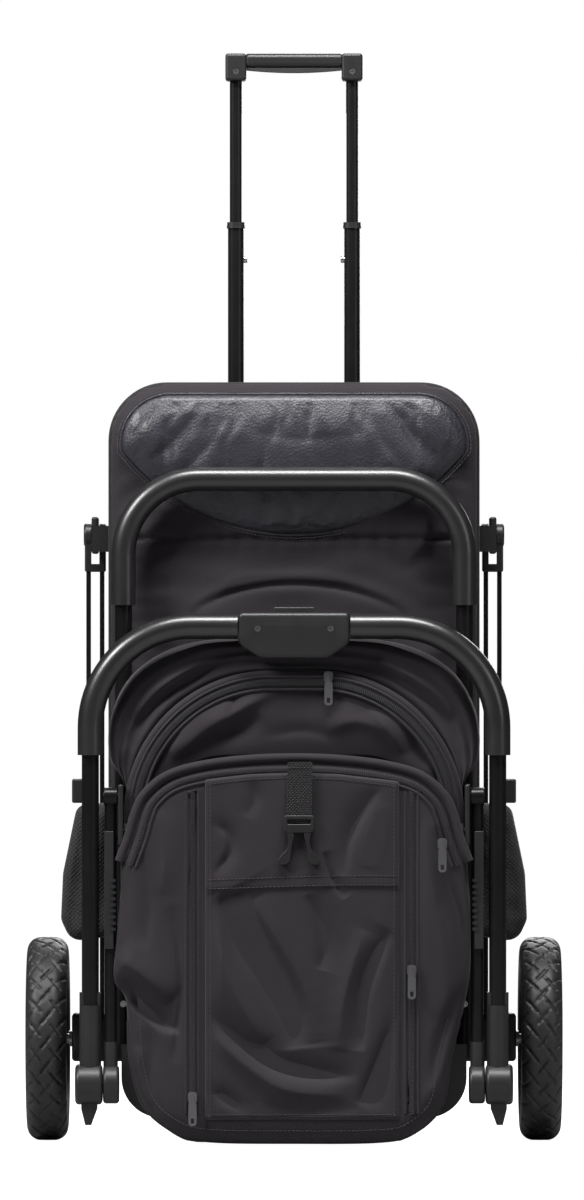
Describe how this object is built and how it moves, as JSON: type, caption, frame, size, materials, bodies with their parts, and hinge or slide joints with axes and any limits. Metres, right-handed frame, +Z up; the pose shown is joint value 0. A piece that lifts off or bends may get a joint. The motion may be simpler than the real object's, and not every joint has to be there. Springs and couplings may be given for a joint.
{
  "type": "pet stroller",
  "caption": "Folded pet stroller stood up as a trolley, with treaded rear wheels, arched push handle, padded mat, canopy and telescopic pull handle.",
  "frame": {"origin": "on the floor under the middle of the folded stroller's box", "axes": "+Z up, +X to the right seen from the front, -Y to the front"},
  "size_m": [0.533, 0.3235, 1.0853],
  "materials": {
    "black_paint": "matte black powder coat",
    "black_plastic": "moulded, fine texture",
    "board_plastic": "pressed board",
    "foam_grip": "smooth satin foam sleeve",
    "soft_insert": "soft touch",
    "dark_fabric": "plain weave, dark grey",
    "side_fabric": "mesh cloth",
    "leatherette": "soft grained",
    "webbing": "ribbed webbing",
    "steel": "plated",
    "zip_metal": "black gunmetal",
    "tyre": "foam tyre with tread",
    "rim_plastic": "moulded rim"
  },
  "bodies": {
    "base": {"base_board": "board_plastic", "base_hoop": "black_paint", "hoop_grip": "foam_grip", "back_pad": "dark_fabric", "pillow": "leatherette", "hoop_brackets": "black_plastic", "knuckle_brackets": "black_plastic", "handle_rails": "black_paint", "rail_clips": "black_paint", "cabin_bag": "dark_fabric", "front_flap": "dark_fabric", "canopy_folds": "dark_fabric", "side_cloth": "side_fabric", "strap": "webbing", "buckle": "black_plastic", "basket_clips": "black_plastic", "frame_rivets": "steel"},
    "canopy": {"canopy_hoop": "dark_fabric"},
    "zip_left": {"zip_slider_left": "zip_metal"},
    "zip_right": {"zip_slider_right": "zip_metal"},
    "zip_canopy": {"zip_slider_canopy": "zip_metal"},
    "zip_cabin": {"zip_slider_cabin": "zip_metal"},
    "lower_stage": {"stage_tubes": "black_paint", "stage_collars": "black_plastic"},
    "pull_handle": {"pull_tubes": "black_paint", "pull_grip": "black_plastic", "grip_insert": "soft_insert", "grip_screws": "zip_metal"},
    "snap_left": {"snap_button_left": "steel"},
    "snap_right": {"snap_button_right": "steel"},
    "rear_legs": {"knuckle_housings": "black_plastic", "leg_bars": "black_paint", "axle_beam": "black_plastic", "axle_shafts": "steel"},
    "brake": {"brake_pedal": "black_plastic"},
    "front_legs": {"front_leg_tubes": "black_paint", "caster_sockets": "black_plastic"},
    "lower_handle": {"lower_handle_tubes": "black_paint", "inner_joint_housings": "black_plastic", "rack_strips": "black_plastic"},
    "push_handle": {"handle_arch": "black_paint", "handle_grips": "foam_grip", "outer_joint_housings": "black_plastic", "latch_housing": "black_plastic", "latch_screws": "zip_metal"},
    "wedges": {"lock_wedges": "black_plastic"},
    "release": {"release_button": "black_plastic"},
    "wheel_left": {"tyre_left": "tyre", "rim_left": "rim_plastic", "bearings_left": "steel"},
    "caster_left": {"caster_fork_left": "black_plastic"},
    "caster_wheel_left": {"caster_tyre_left": "tyre", "caster_rim_left": "rim_plastic"},
    "wheel_right": {"tyre_right": "tyre", "rim_right": "rim_plastic", "bearings_right": "steel"},
    "caster_right": {"caster_fork_right": "black_plastic"},
    "caster_wheel_right": {"caster_tyre_right": "tyre", "caster_rim_right": "rim_plastic"}
  },
  "joints": [
    {"name": "leg_fold", "type": "hinge", "parent": "base", "child": "rear_legs", "pos_m": [0, -0.00535, 0.605], "axis": [1, 0, 0], "range_deg": [0, 50]},
    {"name": "front_leg_fold", "type": "hinge", "parent": "base", "child": "front_legs", "pos_m": [0, 0.01865, 0.6], "axis": [1, 0, 0], "range_deg": [0, 120]},
    {"name": "lower_handle_fold", "type": "hinge", "parent": "base", "child": "lower_handle", "pos_m": [0, -0.13135, 0.346], "axis": [-1, 0, 0], "range_deg": [0, 60]},
    {"name": "push_handle_fold", "type": "hinge", "parent": "lower_handle", "child": "push_handle", "pos_m": [0, -0.13135, 0.062], "axis": [1, 0, 0], "range_deg": [0, 180]},
    {"name": "canopy_lift", "type": "hinge", "parent": "base", "child": "canopy", "pos_m": [0, -0.12335, 0.312], "axis": [1, 0, 0], "range_deg": [0, 85]},
    {"name": "stage_slide", "type": "slide", "parent": "base", "child": "lower_stage", "axis": [0, 0, -1], "range_m": [0, 0.128]},
    {"name": "pull_slide", "type": "slide", "parent": "lower_stage", "child": "pull_handle", "axis": [0, 0, -1], "range_m": [0, 0.138]},
    {"name": "snap_left_press", "type": "slide", "parent": "lower_stage", "child": "snap_left", "axis": [-1, 0, 0], "range_m": [0, 0.002], "stiffness_N_per_m": 800, "springref_m": -0.001},
    {"name": "snap_right_press", "type": "slide", "parent": "lower_stage", "child": "snap_right", "axis": [1, 0, 0], "range_m": [0, 0.002], "stiffness_N_per_m": 800, "springref_m": -0.001},
    {"name": "wheel_left_spin", "type": "hinge", "parent": "rear_legs", "child": "wheel_left", "pos_m": [-0.246, 0.00165, 0.1015], "axis": [1, 0, 0], "continuous": true},
    {"name": "wheel_right_spin", "type": "hinge", "parent": "rear_legs", "child": "wheel_right", "pos_m": [0.246, 0.00165, 0.1015], "axis": [1, 0, 0], "continuous": true},
    {"name": "brake_tip", "type": "hinge", "parent": "rear_legs", "child": "brake", "pos_m": [0, 0.01165, 0.112], "axis": [-1, 0, 0], "range_deg": [0, 15]},
    {"name": "caster_left_swivel", "type": "hinge", "parent": "front_legs", "child": "caster_left", "pos_m": [-0.095, 0.11165, 0.18], "axis": [0, 0, 1], "continuous": true},
    {"name": "caster_right_swivel", "type": "hinge", "parent": "front_legs", "child": "caster_right", "pos_m": [0.095, 0.11165, 0.18], "axis": [0, 0, 1], "continuous": true},
    {"name": "caster_left_spin", "type": "hinge", "parent": "caster_left", "child": "caster_wheel_left", "pos_m": [-0.095, 0.09165, 0.07], "axis": [1, 0, 0], "continuous": true},
    {"name": "caster_right_spin", "type": "hinge", "parent": "caster_right", "child": "caster_wheel_right", "pos_m": [0.095, 0.09165, 0.07], "axis": [1, 0, 0], "continuous": true},
    {"name": "release_press", "type": "slide", "parent": "push_handle", "child": "release", "axis": [0, 0, -1], "range_m": [0, 0.004], "stiffness_N_per_m": 900, "springref_m": -0.001},
    {"name": "wedge_draw", "type": "slide", "parent": "push_handle", "child": "wedges", "axis": [0, 0, 1], "range_m": [0, 0.006]},
    {"name": "zip_left_slide", "type": "slide", "parent": "base", "child": "zip_left", "axis": [0, 0, 1], "range_m": [0, 0.28]},
    {"name": "zip_right_slide", "type": "slide", "parent": "base", "child": "zip_right", "axis": [0, 0, 1], "range_m": [-0.14, 0.15]},
    {"name": "zip_canopy_run", "type": "hinge", "parent": "canopy", "child": "zip_canopy", "pos_m": [0.0238, -0.12735, 0.326], "axis": [0, 1, 0], "range_deg": [0, 75]},
    {"name": "zip_cabin_run", "type": "hinge", "parent": "base", "child": "zip_cabin", "pos_m": [0.028, -0.15535, 0.255], "axis": [0, -1, 0], "range_deg": [0, 55]}
  ],
  "couplings": [
    {"joint": "front_leg_fold", "follows": "leg_fold", "ratio": 2.4},
    {"joint": "lower_handle_fold", "follows": "leg_fold", "ratio": 1.2},
    {"joint": "push_handle_fold", "follows": "leg_fold", "ratio": 3.6},
    {"joint": "wedge_draw", "follows": "release_press", "ratio": 1.5}
  ]
}
